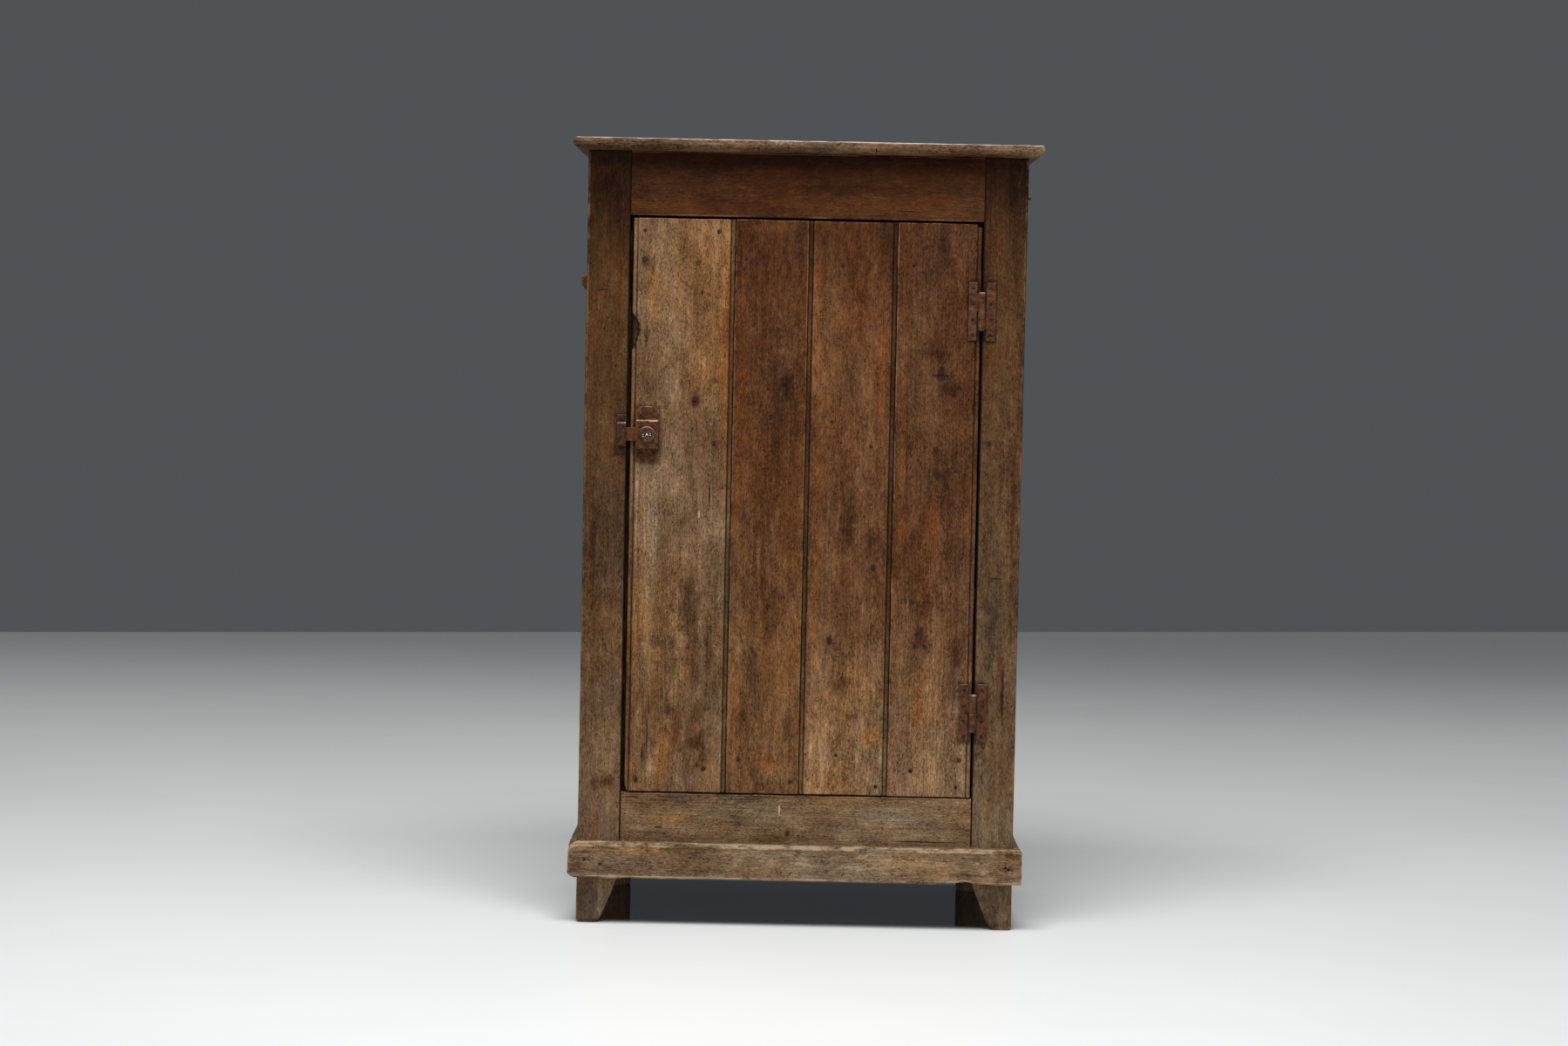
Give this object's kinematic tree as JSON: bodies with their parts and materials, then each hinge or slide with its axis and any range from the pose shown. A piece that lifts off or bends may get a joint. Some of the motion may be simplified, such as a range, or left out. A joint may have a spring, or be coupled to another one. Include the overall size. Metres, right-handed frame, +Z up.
{
  "type": "storage cabinet",
  "caption": "Rustic upright storage cabinet with a boarded door on lift-off hinges, a rim lock, inner shelves, a plinth and an overhanging moulded top.",
  "frame": {"origin": "on the floor, under the middle of the top board", "axes": "+X to the right of someone facing the door, +Y to the back, +Z up"},
  "size_m": [0.775, 0.461, 1.303],
  "materials": {
    "door_wood": "old waxed softwood, worn and stained brown",
    "frame_wood": "old waxed softwood, worn and stained brown",
    "top_wood": "old waxed softwood, worn at the arris",
    "plinth_wood": "old softwood, greyed, with worm holes",
    "side_wood": "old softwood, dull",
    "inner_wood": "unfinished old softwood",
    "rusty_iron": "red-brown rust over iron",
    "rusty_bolt": "orange rust over iron",
    "lock_plug": "dull brass, darkened",
    "nail_iron": "black and rusty iron",
    "screw_iron": "dark rusty iron"
  },
  "bodies": {
    "carcase": {"back_board_1": "inner_wood", "back_board_2": "inner_wood", "back_board_3": "inner_wood", "back_board_4": "inner_wood", "bottom_rail": "frame_wood", "carcase_nails": "nail_iron", "door_stop": "inner_wood", "floor_front_board": "inner_wood", "floor_rear_board": "inner_wood", "frame_screws": "screw_iron", "front_plinth": "plinth_wood", "keeper": "rusty_iron", "keeper_screws": "screw_iron", "left_floor_bearer": "inner_wood", "left_front_post": "frame_wood", "left_lower_shelf_bearer": "inner_wood", "left_plinth": "plinth_wood", "left_rear_post": "frame_wood", "left_side_board_1": "side_wood", "left_side_board_2": "side_wood", "left_top_bearer": "inner_wood", "left_upper_shelf_bearer": "inner_wood", "lower_frame_leaf": "rusty_iron", "lower_hinge_pin": "rusty_iron", "lower_shelf_front_board": "inner_wood", "lower_shelf_rear_board": "inner_wood", "rear_bottom_rail": "inner_wood", "rear_top_rail": "inner_wood", "right_floor_bearer": "inner_wood", "right_front_post": "frame_wood", "right_lower_shelf_bearer": "inner_wood", "right_plinth": "plinth_wood", "right_rear_post": "frame_wood", "right_side_board_1": "side_wood", "right_side_board_2": "side_wood", "right_top_bearer": "inner_wood", "right_upper_shelf_bearer": "inner_wood", "side_cleat": "side_wood", "top_front_board": "top_wood", "top_rail": "frame_wood", "top_rear_board": "top_wood", "upper_frame_leaf": "rusty_iron", "upper_hinge_pin": "rusty_iron", "upper_shelf_front_board": "inner_wood", "upper_shelf_rear_board": "inner_wood"},
    "door": {"bottom_ledge": "inner_wood", "door_board_1": "door_wood", "door_board_2": "door_wood", "door_board_3": "door_wood", "door_board_4": "door_wood", "door_nails": "nail_iron", "door_screws": "screw_iron", "lock_back_plate": "rusty_iron", "lock_case": "rusty_iron", "lower_door_leaf": "rusty_iron", "middle_ledge": "inner_wood", "top_ledge": "inner_wood", "upper_door_leaf": "rusty_iron"},
    "lock_bolt": {"lock_bolt": "rusty_bolt"},
    "lock_plug": {"lock_plug": "lock_plug"}
  },
  "joints": [
    {"name": "door_hinge", "type": "hinge", "parent": "carcase", "child": "door", "pos_m": [0.2904, -0.2119, 0.7], "axis": [0, 0, 1], "range_deg": [0, 175]},
    {"name": "bolt_slide", "type": "slide", "parent": "door", "child": "lock_bolt", "axis": [-1, 0, 0], "range_m": [-0.00799, 0.00799]},
    {"name": "plug_turn", "type": "hinge", "parent": "door", "child": "lock_plug", "pos_m": [-0.2583, -0.2215, 0.8154], "axis": [0, -1, 0], "range_deg": [-45.1, 45.1]}
  ],
  "couplings": [
    {"joint": "plug_turn", "follows": "bolt_slide", "rad_per_m": 98.293}
  ]
}
